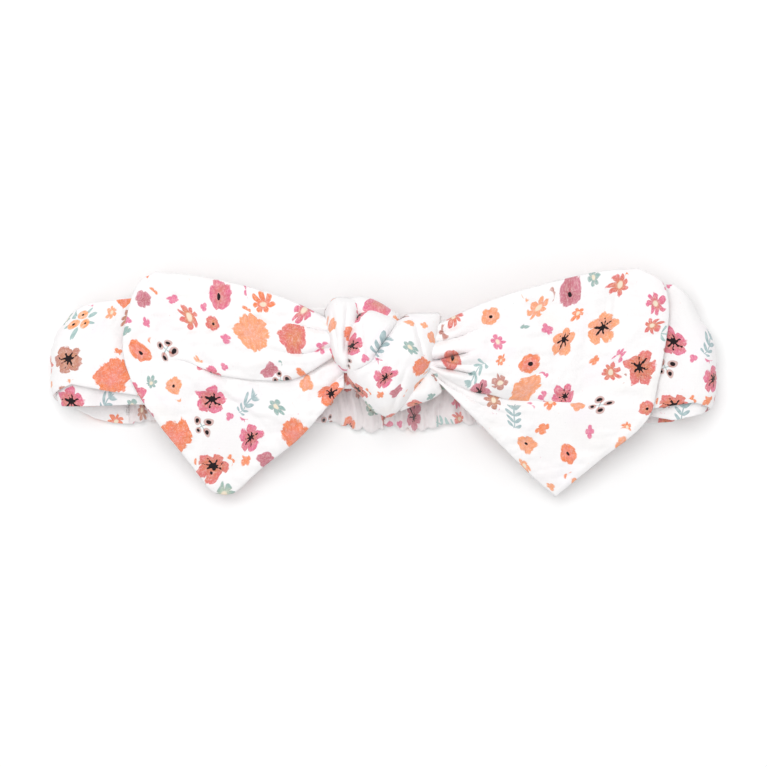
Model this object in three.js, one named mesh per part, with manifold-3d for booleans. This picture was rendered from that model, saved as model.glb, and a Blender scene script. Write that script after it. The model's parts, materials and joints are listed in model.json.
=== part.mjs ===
// A toddler's knotted headband, lying flat on a table: a soft ring pressed into two layers, with a
// gathered elastic casing at the back, a wide band at the front, and a tie knotted round the front
// band that ends in two pointed tails.
//
// Millimetres. X runs along the flattened ring, Y across the band, Z up from the table. The origin
// is at the middle of the object's footprint. The ring opens about hinges along Y. Soft cloth is
// cut into stiff lengths at those hinges, and the front layer mirrors the back layer about the
// level of the end folds, so the ring stays closed as it opens.
import * as THREE from "three";
import { mergeVertices } from "three/addons/utils/BufferGeometryUtils.js";
import Module from "manifold-3d";

const manifold = await Module();
manifold.setup();

// Driving dimensions
const HALF_LENGTH = 95; // the flattened ring, from its middle to an end fold
const HALF_SPREAD = 32.5; // the tails, from the middle of the footprint to a corner
const INNER_HINGE = 14; // hinges beside the knot, front and back
const OUTER_HINGE = 52; // hinges halfway along each side
const JOIN = 73; // the seam between the gathered casing and the band
const TOUCH_GAP = 0.3; // between pieces that lie against each other

// Levels of the layers
const BACK_MIDDLE = 2;
const CASING_THICK = 4;
const BAND_THICK = 2.5;
const FRONT_MIDDLE = 12.75;
const BAND_TOP = FRONT_MIDDLE + BAND_THICK / 2;
const BAND_BOTTOM = FRONT_MIDDLE - BAND_THICK / 2;

// Widths across the band
const CASING_LOW = -12.5;
const CASING_HIGH = 14;
const ELASTIC_THICK = 1.2;
const ELASTIC_INSET = 4.2; // from the casing's edge to the elastic's edge

const CURVE_STEPS = 3;

const cloth = (name) =>
  new THREE.MeshStandardMaterial({ name, color: 0xfaf3f0, roughness: 0.92, metalness: 0 });
const rubberThread = () =>
  new THREE.MeshStandardMaterial({ name: "elastic", color: 0xf2f0ec, roughness: 0.8, metalness: 0 });
const sewingThread = () =>
  new THREE.MeshStandardMaterial({ name: "thread", color: 0xffffff, roughness: 0.7, metalness: 0 });

const headband = new THREE.Group();
headband.name = "knotted_headband";

function add(name, geometry, material = cloth("muslin")) {
  const mesh = new THREE.Mesh(geometry, material);
  mesh.name = name;
  headband.add(mesh);
  return mesh;
}

const points = (pairs) => pairs.map(([x, y]) => new THREE.Vector2(x, y));

// The same outline on the other side of the middle.
const mirrored = (pairs) => pairs.map(([x, y]) => [-x, y]).reverse();

// A closed outline from stretches that are each a smooth curve; a sharp corner joins two stretches.
function outline(stretches) {
  const shape = new THREE.Shape();
  shape.moveTo(...stretches[0][0]);
  for (const stretch of stretches) {
    if (stretch.length === 2) shape.lineTo(...stretch[1]);
    else shape.splineThru(points(stretch.slice(1)));
  }
  return shape;
}

// A soft slab between two levels, with its edges rounded off by `soft`.
function slab(shape, low, high, soft) {
  const geometry = new THREE.ExtrudeGeometry(shape, {
    depth: high - low - 2 * soft,
    bevelEnabled: true,
    bevelThickness: soft,
    bevelSize: soft,
    bevelOffset: -soft,
    bevelSegments: 2,
    curveSegments: CURVE_STEPS,
  });
  return geometry.translate(0, 0, low + soft);
}

// Turns a section drawn in (Y, Z) and extruded along Z so that it runs along X from `start`.
function alongX(geometry, start) {
  const turn = new THREE.Matrix4().makeBasis(
    new THREE.Vector3(0, 1, 0),
    new THREE.Vector3(0, 0, 1),
    new THREE.Vector3(1, 0, 0),
  );
  return geometry.applyMatrix4(turn).translate(start, 0, 0);
}

function roundedBox(low, high, bottom, top, radius, Kind = THREE.Shape) {
  const path = new Kind();
  path.moveTo(low + radius, bottom);
  path.lineTo(high - radius, bottom);
  path.absarc(high - radius, bottom + radius, radius, -Math.PI / 2, 0, false);
  path.lineTo(high, top - radius);
  path.absarc(high - radius, top - radius, radius, 0, Math.PI / 2, false);
  path.lineTo(low + radius, top);
  path.absarc(low + radius, top - radius, radius, Math.PI / 2, Math.PI, false);
  path.lineTo(low, bottom + radius);
  path.absarc(low + radius, bottom + radius, radius, Math.PI, 1.5 * Math.PI, false);
  return path;
}

function toSolid(geometry) {
  const bare = geometry.clone();
  bare.deleteAttribute("normal");
  bare.deleteAttribute("uv");
  const merged = mergeVertices(bare, 1e-4);
  return new manifold.Manifold(
    new manifold.Mesh({
      numProp: 3,
      vertProperties: merged.attributes.position.array,
      triVerts: new Uint32Array(merged.index.array),
    }),
  );
}

// What two closed geometries share.
function common(first, second) {
  const mesh = toSolid(first).intersect(toSolid(second)).getMesh();
  const geometry = new THREE.BufferGeometry();
  geometry.setAttribute("position", new THREE.BufferAttribute(mesh.vertProperties, 3));
  geometry.setIndex(new THREE.BufferAttribute(mesh.triVerts, 1));
  geometry.computeVertexNormals();
  return geometry;
}

// --- The gathered casing and the elastic inside it -------------------------------------------

const CASING_WALL = 0.9;
const CASING_ROUND = 1.6; // the casing's corners, outside

function casing(name, from, to) {
  const low = BACK_MIDDLE - CASING_THICK / 2;
  const high = BACK_MIDDLE + CASING_THICK / 2;
  const section = roundedBox(CASING_LOW, CASING_HIGH, low, high, CASING_ROUND);
  section.holes.push(
    roundedBox(
      CASING_LOW + CASING_WALL,
      CASING_HIGH - CASING_WALL,
      low + CASING_WALL,
      high - CASING_WALL,
      CASING_ROUND / 2,
      THREE.Path,
    ),
  );
  const tube = new THREE.ExtrudeGeometry(section, {
    depth: to - from,
    bevelEnabled: false,
    curveSegments: CURVE_STEPS,
  });
  add(name, alongX(tube, from));
}

function elastic(name, from, to) {
  const width = CASING_HIGH - CASING_LOW - 2 * ELASTIC_INSET;
  const strip = new THREE.BoxGeometry(to - from, width, ELASTIC_THICK);
  strip.translate((from + to) / 2, (CASING_LOW + CASING_HIGH) / 2, BACK_MIDDLE);
  add(name, strip, rubberThread());
}

const CASING_HINGE_GAP = 1; // from a hinge to the casing on either side of it
const ELASTIC_HINGE_GAP = 0.5;

casing("casing_centre", -INNER_HINGE + CASING_HINGE_GAP, INNER_HINGE - CASING_HINGE_GAP);
elastic("elastic_centre", -INNER_HINGE + ELASTIC_HINGE_GAP, INNER_HINGE - ELASTIC_HINGE_GAP);

// Makes the same length on the left and on the right, given its distances from the middle.
function bothSides(make, name, near, far) {
  make(`${name.replace("SIDE", "left")}`, -far, -near);
  make(`${name.replace("SIDE", "right")}`, near, far);
}

const SEAM_HALF = 0.9;
bothSides(
  casing,
  "casing_SIDE_inner",
  INNER_HINGE + CASING_HINGE_GAP,
  OUTER_HINGE - CASING_HINGE_GAP,
);
bothSides(
  casing,
  "casing_SIDE_outer",
  OUTER_HINGE + CASING_HINGE_GAP,
  JOIN - SEAM_HALF - TOUCH_GAP,
);
bothSides(
  elastic,
  "elastic_SIDE_inner",
  INNER_HINGE + ELASTIC_HINGE_GAP,
  OUTER_HINGE - ELASTIC_HINGE_GAP,
);
bothSides(
  elastic,
  "elastic_SIDE_outer",
  OUTER_HINGE + ELASTIC_HINGE_GAP,
  JOIN - SEAM_HALF - TOUCH_GAP,
);

// --- The join seams: casing, elastic and band caught together in one ridge ---------------------

const RIDGE_LOW = 0.2;
const RIDGE_TOP = 4;
const RIDGE_ROUND = 0.8;

function joinSeam(name, from, to) {
  const section = roundedBox(CASING_LOW + 0.4, CASING_HIGH - 0.8, RIDGE_LOW, RIDGE_TOP, RIDGE_ROUND);
  const ridge = new THREE.ExtrudeGeometry(section, {
    depth: to - from,
    bevelEnabled: false,
    curveSegments: CURVE_STEPS,
  });
  add(name, alongX(ridge, from));
}

bothSides(joinSeam, "join_seam_SIDE", JOIN - SEAM_HALF, JOIN + SEAM_HALF);

// --- The band: from each join seam, round the end fold, to the knot ----------------------------

const FOLD_MIDDLE = HALF_LENGTH - BAND_THICK / 2; // the end fold's own middle, where it hinges
const CORNER_GAP = 0.7; // from a fold hinge to the end of the run beside it
const RETURN_THICK = 3;
const FOLD_CLEAR = 0.5; // between the fold and the layers above and below it

// The back layer of the band, between the join seam and the end fold.
const RETURN_OUTLINE = [
  [
    [-(JOIN + SEAM_HALF + TOUCH_GAP), CASING_LOW + 0.5],
    [-(FOLD_MIDDLE - CORNER_GAP), CASING_LOW + 2.5],
  ],
  [
    [-(FOLD_MIDDLE - CORNER_GAP), CASING_LOW + 2.5],
    [-(FOLD_MIDDLE - CORNER_GAP), 11],
  ],
  [
    [-(FOLD_MIDDLE - CORNER_GAP), 11],
    [-(JOIN + SEAM_HALF + TOUCH_GAP), CASING_HIGH - 1],
  ],
];

// The front layer, outside the outer hinge. Its end is rounded off at the top corner.
const RUN_END = FOLD_MIDDLE - CORNER_GAP;
const LEFT_RUN_OUTLINE = [
  [
    [-(OUTER_HINGE + 0.8), -3.5],
    [-RUN_END, -2.5],
  ],
  [
    [-RUN_END, -2.5],
    [-RUN_END + 0.8, 11],
    [-RUN_END + 4.5, 20.5],
    [-78, 23.8],
    [-66, 24.6],
    [-(OUTER_HINGE + 0.8), 22],
  ],
];
const RIGHT_RUN_OUTLINE = [
  [
    [OUTER_HINGE + 0.8, 22],
    [66, 24.8],
    [80, 25.4],
    [RUN_END - 4, 22],
    [RUN_END - 1, 14],
    [RUN_END, -3],
  ],
  [
    [RUN_END, -3],
    [OUTER_HINGE + 0.8, -5],
  ],
];

// The front layer between the hinges, hidden under a tail.
const INNER_RUN_OUTLINE = [
  [
    [-(OUTER_HINGE - 0.8), -3.5],
    [-(OUTER_HINGE - 0.8), 22],
  ],
  [
    [-(OUTER_HINGE - 0.8), 22],
    [-32, 18.5],
    [-(INNER_HINGE + 0.8), 15.5],
  ],
  [
    [-(INNER_HINGE + 0.8), 15.5],
    [-(INNER_HINGE + 0.8), -1.5],
  ],
  [
    [-(INNER_HINGE + 0.8), -1.5],
    [-32, -3],
    [-(OUTER_HINGE - 0.8), -3.5],
  ],
];

const mirroredStretches = (stretches) => stretches.map(mirrored).reverse();
const SOFT_EDGE = 0.8;

add("band_return_left", slab(outline(RETURN_OUTLINE), 0, RETURN_THICK, SOFT_EDGE));
add("band_return_right", slab(outline(mirroredStretches(RETURN_OUTLINE)), 0, RETURN_THICK, SOFT_EDGE));
add("band_run_left_outer", slab(outline(LEFT_RUN_OUTLINE), BAND_BOTTOM, BAND_TOP, SOFT_EDGE));
add("band_run_right_outer", slab(outline(RIGHT_RUN_OUTLINE), BAND_BOTTOM, BAND_TOP, SOFT_EDGE));
add("band_run_left_inner", slab(outline(INNER_RUN_OUTLINE), BAND_BOTTOM, BAND_TOP, SOFT_EDGE));
add(
  "band_run_right_inner",
  slab(outline(mirroredStretches(INNER_RUN_OUTLINE)), BAND_BOTTOM, BAND_TOP, SOFT_EDGE),
);

// The end fold stands between the two layers.
const FOLD_ROUND = 1.2;

function endFold(name, from, to) {
  const section = roundedBox(
    CASING_LOW + 3,
    15.5,
    RETURN_THICK + FOLD_CLEAR,
    BAND_BOTTOM - FOLD_CLEAR,
    FOLD_ROUND,
  );
  const wall = new THREE.ExtrudeGeometry(section, {
    depth: to - from,
    bevelEnabled: false,
    curveSegments: CURVE_STEPS,
  });
  add(name, alongX(wall, from));
}

bothSides(endFold, "band_end_fold_SIDE", HALF_LENGTH - BAND_THICK, HALF_LENGTH);

// The band's middle, which the knot grips.
const MIDDLE_RUN = roundedBox(-(INNER_HINGE - 0.8), INNER_HINGE - 0.8, -1.5, 15.5, 1.5);
add("band_run_centre", slab(MIDDLE_RUN, BAND_BOTTOM, BAND_TOP, SOFT_EDGE));

// --- The knot -------------------------------------------------------------------------------------

const KNOT_TOP = 27.5;
const KNOT_LOW = -10;
const KNOT_HIGH = 23.6;
const KNOT_MIDDLE = (KNOT_LOW + KNOT_HIGH) / 2;
const CORE_TOP = 18.8;
const CORE_HALF_WIDTH = 7;
const CORE_CLEAR = 1.4; // between the core and the crown of the straps over it
const WRAP_WALL = 6;

// The bunched cloth inside, lying on the band.
const CORE_HALF_LENGTH = 10.5;
const CORE_ROUND = 4; // its corners, seen from above
const CORE_SOFT = 1.6;
const CORE_OUTLINE = roundedBox(
  -CORE_HALF_LENGTH,
  CORE_HALF_LENGTH,
  KNOT_MIDDLE - CORE_HALF_WIDTH,
  KNOT_MIDDLE + CORE_HALF_WIDTH,
  CORE_ROUND,
);
add("knot_core", slab(CORE_OUTLINE, BAND_TOP + TOUCH_GAP, CORE_TOP, CORE_SOFT));

// An arch drawn in (Y, Z) that passes over the core from one edge of the band to the other.
function archSection(reach, top, wall, foot) {
  const shape = new THREE.Shape();
  const inner = reach - wall;
  shape.moveTo(KNOT_MIDDLE + reach, foot);
  shape.absellipse(KNOT_MIDDLE, foot, reach, top - foot, 0, Math.PI, false);
  shape.lineTo(KNOT_MIDDLE - inner, foot);
  shape.absellipse(KNOT_MIDDLE, foot, inner, CORE_TOP + CORE_CLEAR - foot, Math.PI, 0, true);
  return shape;
}

function arch(from, to, reach, top, wall, soft) {
  const strap = new THREE.ExtrudeGeometry(archSection(reach, top, wall, BAND_TOP + TOUCH_GAP), {
    depth: to - from - 2 * soft,
    bevelEnabled: true,
    bevelThickness: soft,
    bevelSize: soft,
    bevelOffset: -soft,
    bevelSegments: 2,
    curveSegments: 9,
  });
  return alongX(strap, from + soft);
}

// Seen from above, the wrap narrows from the upper corners to a rounded foot at the lower edge.
const WRAP_PLAN = outline([
  [
    [-9.2, 21.5],
    [-9.6, 12],
    [-9.4, 5],
    [-5.5, -3],
    [-1.5, -8.5],
    [2, -10.5],
    [5, -6.5],
    [9.4, -0.5],
    [11.8, 6],
    [12.4, 12],
  ],
  [
    [12.4, 12],
    [12.4, 19.5],
  ],
  [
    [12.4, 19.5],
    [4, 20.5],
    [-2, 24],
    [-9.2, 21.5],
  ],
]);
const STRAND_PLAN = outline([
  [
    [-15.4, 24],
    [-15.2, 14],
    [-13.6, 7],
    [-11.5, 3],
    [-10, 2.2],
  ],
  [
    [-10, 2.2],
    [-10, 12],
    [-9.6, 24],
  ],
  [
    [-9.6, 24],
    [-15.4, 24],
  ],
]);
const WRAP_REACH = (KNOT_HIGH - KNOT_LOW) / 2;
const WRAP_LEFT = -9.6;
const WRAP_RIGHT = 12.4;
const WRAP_SOFT = 1.4;
const STRAND_LEFT = -15.4;
const STRAND_RIGHT = WRAP_LEFT - TOUCH_GAP;
const STRAND_REACH = WRAP_REACH - 1.2;
const STRAND_TOP = KNOT_TOP - 3.5;
const STRAND_SOFT = 1.1;
const PLAN_LOW = BAND_TOP;
const PLAN_HIGH = KNOT_TOP + 1;
const PLAN_SOFT = 0.2;
add(
  "knot_wrap",
  common(
    arch(WRAP_LEFT, WRAP_RIGHT, WRAP_REACH, KNOT_TOP, WRAP_WALL, WRAP_SOFT),
    slab(WRAP_PLAN, PLAN_LOW, PLAN_HIGH, PLAN_SOFT),
  ),
);
add(
  "knot_strand",
  common(
    arch(STRAND_LEFT, STRAND_RIGHT, STRAND_REACH, STRAND_TOP, WRAP_WALL - 1, STRAND_SOFT),
    slab(STRAND_PLAN, PLAN_LOW, PLAN_HIGH, PLAN_SOFT),
  ),
);

// The small pleat that the wrap tucks under at the lower right.
const TUCK_TOP = 20;
const TUCK_SOFT = 0.6;
const TUCK_OUTLINE = outline([
  [
    [12.8, -6],
    [15.8, -3],
  ],
  [
    [15.8, -3],
    [15.9, 8],
    [14.6, 16],
  ],
  [
    [14.6, 16],
    [12.8, 16],
  ],
]);
add("knot_tuck", slab(TUCK_OUTLINE, BAND_TOP + TOUCH_GAP, TUCK_TOP, TUCK_SOFT));

// The strap of the tie that passes behind the band, and the two tacks that hold it there.
const STRAP_THICK = 1.3;
const STRAP_SOFT = 0.5;
const STRAP_TOP = BAND_BOTTOM - TOUCH_GAP;
const STRAP = roundedBox(-9, 9, -6, 19.5, 2.5);
add("knot_back_strap", slab(STRAP, STRAP_TOP - STRAP_THICK, STRAP_TOP, STRAP_SOFT));

const TACK_RADIUS = 0.3;
const TACK_LENGTH = 6;
for (const [side, x] of [
  ["left", -4.5],
  ["right", 4.5],
]) {
  const tack = new THREE.CylinderGeometry(TACK_RADIUS, TACK_RADIUS, TACK_LENGTH, 8);
  tack.translate(x, KNOT_MIDDLE, STRAP_TOP - STRAP_THICK - TOUCH_GAP - TACK_RADIUS);
  add(`tack_stitch_${side}`, tack, sewingThread());
}

// --- The tails ------------------------------------------------------------------------------------

const POINT_LOW = BAND_TOP + 0.4;
const POINT_HIGH = POINT_LOW + 1.6;
const LOBE_LOW = POINT_HIGH + TOUCH_GAP;
const LOBE_HIGH = LOBE_LOW + 3.3;
const LOBE_SOFT = 1.2;
const TAIL_ROOT = 20; // where a tail starts, clear of the knot when it lifts

// The puffed upper half lies over the lower half, and its lower edge is a pleat that runs out of
// the knot.
const LEFT_LOBE = outline([
  [
    [-TAIL_ROOT, 3],
    [-TAIL_ROOT, 20.4],
  ],
  [
    [-TAIL_ROOT, 20.4],
    [-32, 25],
    [-48, 29.6],
    [-60, 31.6],
    [-66.5, 31],
    [-70, 27],
  ],
  [
    [-70, 27],
    [-72.5, 20.4],
    [-73.6, 11],
    [-71.8, 2.5],
  ],
  [
    [-71.8, 2.5],
    [-57, 4],
    [-45, 2],
    [-35, 0.8],
    [-TAIL_ROOT, 3],
  ],
]);
const RIGHT_LOBE = outline([
  [
    [TAIL_ROOT, -1.5],
    [33, -4.2],
    [46, -4.8],
    [61, -5],
    [76.6, -6],
  ],
  [
    [76.6, -6],
    [78, 2],
    [80.3, 14],
    [80.4, 23],
  ],
  [
    [80.4, 23],
    [77, 30.6],
    [71, HALF_SPREAD],
    [58, 30.8],
    [37, 26],
    [TAIL_ROOT, 18.8],
  ],
  [
    [TAIL_ROOT, 18.8],
    [TAIL_ROOT, -1.5],
  ],
]);

add("tail_left_upper", slab(LEFT_LOBE, LOBE_LOW, LOBE_HIGH, LOBE_SOFT));
add("tail_right_upper", slab(RIGHT_LOBE, LOBE_LOW, LOBE_HIGH, LOBE_SOFT));

// The lower half hangs towards the table once it is clear of the band, lowest at its point.
const HANG_START = -7;
const HANG_DEPTH = 9;
const hang = (y) =>
  HANG_DEPTH * Math.max(0, (HANG_START - y) / (HANG_START + HALF_SPREAD)) ** 1.15;

const edge = (pairs) => new THREE.SplineCurve(points(pairs));
const SHEET_STEPS = 16;

// A thin sheet between four edges: `bottom` and `top` run out from the knot, `end` joins their far
// ends, and the edge at the knot is straight.
function sheet(bottom, top, end) {
  const geometry = new THREE.BoxGeometry(1, 1, 1, SHEET_STEPS, SHEET_STEPS, 1);
  const place = geometry.attributes.position;
  const near = [bottom.getPoint(0), top.getPoint(0)];
  const far = [end.getPoint(0), end.getPoint(1)];
  for (let i = 0; i < place.count; i++) {
    const u = place.getX(i) + 0.5;
    const w = place.getY(i) + 0.5;
    const side = bottom.getPointAt(u).lerp(top.getPointAt(u), w);
    const root = near[0].clone().lerp(near[1], w);
    const across = root.clone().lerp(end.getPointAt(w), u);
    const corners = root.lerp(far[0].clone().lerp(far[1], w), u);
    const spot = side.add(across).sub(corners);
    const level = place.getZ(i) > 0 ? POINT_HIGH : POINT_LOW;
    place.setXYZ(i, spot.x, spot.y, level - hang(spot.y));
  }
  return geometry;
}

const leftBottom = edge([
  [-TAIL_ROOT, -12],
  [-26, -17],
  [-34, -23.6],
  [-45, -HALF_SPREAD],
]);
const leftTop = edge([
  [-TAIL_ROOT, 12],
  [-45, 12],
  [-70.5, 12],
]);
const leftEnd = edge([
  [-45, -HALF_SPREAD],
  [-55, -22.5],
  [-67.5, -6],
  [-71.5, 2],
  [-70.5, 12],
]);
const rightBottom = edge([
  [TAIL_ROOT, -4],
  [31.7, -16],
  [42, -26],
  [49.2, -HALF_SPREAD],
]);
const rightTop = edge([
  [TAIL_ROOT, 2],
  [48, 2],
  [77.4, 2],
]);
const rightEnd = edge([
  [49.2, -HALF_SPREAD],
  [61, -22.3],
  [68.3, -16],
  [75, -9.5],
  [77, -5],
  [77.4, 2],
]);

// Mirroring turns a sheet's faces round, so the left one, drawn the other way, is turned back.
function turned(geometry) {
  const index = geometry.index.array;
  for (let i = 0; i < index.length; i += 3) {
    [index[i + 1], index[i + 2]] = [index[i + 2], index[i + 1]];
  }
  return geometry;
}

add("tail_left_lower", turned(sheet(leftBottom, leftTop, leftEnd)));
add("tail_right_lower", sheet(rightBottom, rightTop, rightEnd));

export default headband;
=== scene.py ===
"""A knotted floral headband lying flat, seen from straight above.

Every piece of cloth is a closed shell or tube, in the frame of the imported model. Its points are worked out
in millimetres, and `MM` turns them into metres.
"""

import json
import math

import bpy
import numpy as np
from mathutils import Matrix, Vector


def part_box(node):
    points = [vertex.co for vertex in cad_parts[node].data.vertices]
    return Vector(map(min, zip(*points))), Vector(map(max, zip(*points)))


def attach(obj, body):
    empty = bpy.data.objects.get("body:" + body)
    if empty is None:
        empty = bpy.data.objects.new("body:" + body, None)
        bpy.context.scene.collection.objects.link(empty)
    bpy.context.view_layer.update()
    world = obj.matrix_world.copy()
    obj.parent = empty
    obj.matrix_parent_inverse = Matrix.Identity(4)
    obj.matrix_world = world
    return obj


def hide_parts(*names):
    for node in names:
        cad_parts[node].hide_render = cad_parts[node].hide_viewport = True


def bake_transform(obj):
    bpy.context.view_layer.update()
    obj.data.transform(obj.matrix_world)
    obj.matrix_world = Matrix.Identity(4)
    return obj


MM = 0.001

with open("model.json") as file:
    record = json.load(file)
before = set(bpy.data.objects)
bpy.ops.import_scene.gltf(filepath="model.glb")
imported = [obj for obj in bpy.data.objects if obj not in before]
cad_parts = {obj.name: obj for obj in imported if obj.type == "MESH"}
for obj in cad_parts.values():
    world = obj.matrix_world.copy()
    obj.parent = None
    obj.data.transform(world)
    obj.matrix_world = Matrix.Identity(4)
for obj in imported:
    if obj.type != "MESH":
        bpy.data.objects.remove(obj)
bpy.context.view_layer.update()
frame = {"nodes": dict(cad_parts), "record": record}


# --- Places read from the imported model, in millimetres ---


def low(node):
    return np.array(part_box(node)[0]) / MM


def high(node):
    return np.array(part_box(node)[1]) / MM


def hinge(name):
    joint = next(j for j in frame["record"]["behaviour"]["joints"] if j["name"] == name)
    return np.array(joint["pos_m"]) / MM


HALF = high("band_end_fold_right")[0]  # from the middle of the loop to its end
BACK_LEVEL = hinge("loop_open")[2]  # the middle of the back layer
FRONT_LEVEL = hinge("front_left_at_knot")[2]  # the middle of the front layer
FOLD_RADIUS = (FRONT_LEVEL - BACK_LEVEL) / 2
FOLD_LEVEL = (FRONT_LEVEL + BACK_LEVEL) / 2
INNER = -hinge("loop_open")[0]  # hinges beside the knot
OUTER = -hinge("back_left_bend")[0]  # hinges halfway along a side
JOIN = (low("join_seam_right")[0] + high("join_seam_right")[0]) / 2
BAND_THICK = high("band_run_centre")[2] - low("band_run_centre")[2]
CASING_THICK = high("casing_centre")[2] - low("casing_centre")[2]
CASING_LOW = low("casing_centre")[1]
CASING_HIGH = high("casing_centre")[1]
BAND_TOP = high("band_run_centre")[2]
TAIL_LOW = BAND_TOP + 0.4  # where a tail lies on the band
TIP_LEVEL = low("tail_left_lower")[2]  # a tail's point, hanging towards the table
SPREAD = high("tail_right_upper")[1]  # from the middle to a tail's far corner
KNOT_TOP = high("knot_wrap")[2]
KNOT_FOOT = low("knot_wrap")[2]


# --- Curves, noise and shells ---


def curve(*corners):
    """A smooth curve through the corners, as a function of 0..1 by length."""
    given = np.array(corners, float)
    if len(given) == 2:
        given = np.array([given[0], given.mean(axis=0), given[1]])
    ends = np.vstack([2 * given[0] - given[1], given, 2 * given[-1] - given[-2]])
    dense = []
    for i in range(1, len(ends) - 2):
        a, b, c, d = ends[i - 1 : i + 3]
        t = np.linspace(0, 1, 24, endpoint=False)[:, None]
        dense.append(
            0.5 * (2 * b + (c - a) * t + (2 * a - 5 * b + 4 * c - d) * t**2 + (3 * b - a - 3 * c + d) * t**3)
        )
    line = np.vstack([*dense, given[-1:]])
    length = np.concatenate([[0], np.cumsum(np.linalg.norm(np.diff(line, axis=0), axis=1))])
    length /= length[-1]

    def at(t):
        t = np.asarray(t, float)
        return np.stack([np.interp(t, length, line[:, k]) for k in range(line.shape[1])], axis=-1)

    return at


def smooth(x, start, end):
    t = np.clip((x - start) / (end - start), 0, 1)
    return t * t * (3 - 2 * t)


def ripples(x, y, size, seed, stretch=1.0):
    """Soft irregular noise of about -1..1 with features of the given size, longer along y by `stretch`."""
    waves = 14
    rng = np.random.default_rng(seed)
    total = np.zeros(np.broadcast(x, y).shape)
    for _ in range(waves):
        angle = rng.uniform(0, 2 * math.pi)
        pitch = size * rng.uniform(0.7, 1.6)
        phase = rng.uniform(0, 2 * math.pi)
        across = x * math.cos(angle) + y * math.sin(angle) / stretch
        total += np.sin(2 * math.pi * across / pitch + phase)
    return total / math.sqrt(waves / 2) / 1.6


def soften(rows, passes):
    """Blurs points along the second axis and leaves the two ends where they are."""
    for _ in range(passes):
        middle = 0.25 * rows[:, :-2] + 0.5 * rows[:, 1:-1] + 0.25 * rows[:, 2:]
        rows = np.concatenate([rows[:, :1], middle, rows[:, -1:]], axis=1)
    return rows


def groove(x, y, start, finish, deep, wide):
    """A soft valley with a raised lip, between two places, as a change of height."""
    (ax, ay), (bx, by) = start, finish
    length = math.hypot(bx - ax, by - ay)
    along = ((x - ax) * (bx - ax) + (y - ay) * (by - ay)) / length
    off = ((x - ax) * (by - ay) - (y - ay) * (bx - ax)) / length
    fade = smooth(along, -0.15 * length, 0.25 * length) * smooth(along, 1.15 * length, 0.7 * length)
    valley = -deep * np.exp(-((off / wide) ** 2))
    lip = 0.45 * deep * np.exp(-(((off - 2.2 * wide) / wide / 1.4) ** 2))
    return (valley + lip) * fade


def grid_normals(points):
    along = np.gradient(points, axis=0)
    across = np.gradient(points, axis=1)
    normal = np.cross(along, across)
    length = np.linalg.norm(normal, axis=2, keepdims=True)
    return normal / np.maximum(length, 1e-9)


def new_object(name, data):
    made = bpy.data.objects.new(name, data)
    bpy.context.scene.collection.objects.link(made)
    return made


def make_object(name, vertices, faces, cloth, material):
    """An object from points in millimetres. `cloth` holds each point's place on the flat printed cloth."""
    mesh = bpy.data.meshes.new(name)
    mesh.from_pydata((vertices * MM).tolist(), [], faces.tolist())
    mesh.update()
    place = mesh.attributes.new("cloth", "FLOAT_VECTOR", "POINT")
    flat = np.zeros((len(vertices), 3))
    flat[:, : cloth.shape[1]] = cloth
    place.data.foreach_set("vector", (flat * MM).ravel())
    mesh.polygons.foreach_set("use_smooth", [True] * len(mesh.polygons))
    mesh.materials.append(material)
    made = new_object(name, mesh)
    return made


def grid_faces(rows, columns, offset=0, flip=False):
    i, j = np.meshgrid(np.arange(rows - 1), np.arange(columns - 1), indexing="ij")
    a = (i * columns + j).ravel() + offset
    quads = np.stack([a, a + 1, a + columns + 1, a + columns], axis=1)
    return quads[:, ::-1] if flip else quads


OTHER_FACE = (41.0, 17.0)  # how far the print is shifted on the cloth's other face


def shell(name, points, half, cloth, material):
    """A closed shell round a grid of points. `half` is half its thickness at each point."""
    rows, columns = points.shape[:2]
    normal = grid_normals(points)
    upper = points + normal * half[..., None]
    lower = points - normal * half[..., None]
    count = rows * columns
    vertices = np.concatenate([upper.reshape(-1, 3), lower.reshape(-1, 3)])
    rim = np.concatenate(
        [
            np.arange(columns),
            np.arange(1, rows) * columns + columns - 1,
            (rows - 1) * columns + np.arange(columns - 2, -1, -1),
            np.arange(rows - 2, 0, -1) * columns,
        ]
    )
    after = np.roll(rim, -1)
    sides = np.stack([rim, rim + count, after + count, after], axis=1)
    faces = np.concatenate(
        [grid_faces(rows, columns, 0, flip=True), grid_faces(rows, columns, count), sides[:, ::-1]]
    )
    under = cloth + np.array(OTHER_FACE)
    both = np.concatenate([cloth.reshape(-1, 2), under.reshape(-1, 2)])
    return make_object(name, vertices, outward(vertices, faces), both, material)


def tube(name, rings, cloth, material):
    """A closed body from rings of points, capped at both ends."""
    count, around = rings.shape[:2]
    vertices = rings.reshape(-1, 3)
    i, j = np.meshgrid(np.arange(count - 1), np.arange(around), indexing="ij")
    a = (i * around + j).ravel()
    b = (i * around + (j + 1) % around).ravel()
    faces = np.stack([a, b, b + around, a + around], axis=1)
    half = around // 2
    caps = []
    for start, flip in ((0, True), ((count - 1) * around, False)):
        for k in range(half - 1):
            quad = [start + k, start + k + 1, start + (around - k - 2), start + (around - k - 1)]
            if quad[1] != quad[2]:
                caps.append(quad[::-1] if flip else quad)
    faces = np.concatenate([faces, np.array(caps)])
    return make_object(name, vertices, outward(vertices, faces), cloth.reshape(-1, 2), material)


def outward(vertices, faces):
    """Turns a closed body's faces so that they point out."""
    corners = vertices[faces]
    volume = 0.0
    for k in (1, 2):
        cross = np.cross(corners[:, k], corners[:, k + 1])
        volume += np.einsum("ij,ij->i", corners[:, 0], cross).sum()
    return faces[:, ::-1] if volume < 0 else faces


# --- Materials ---


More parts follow.
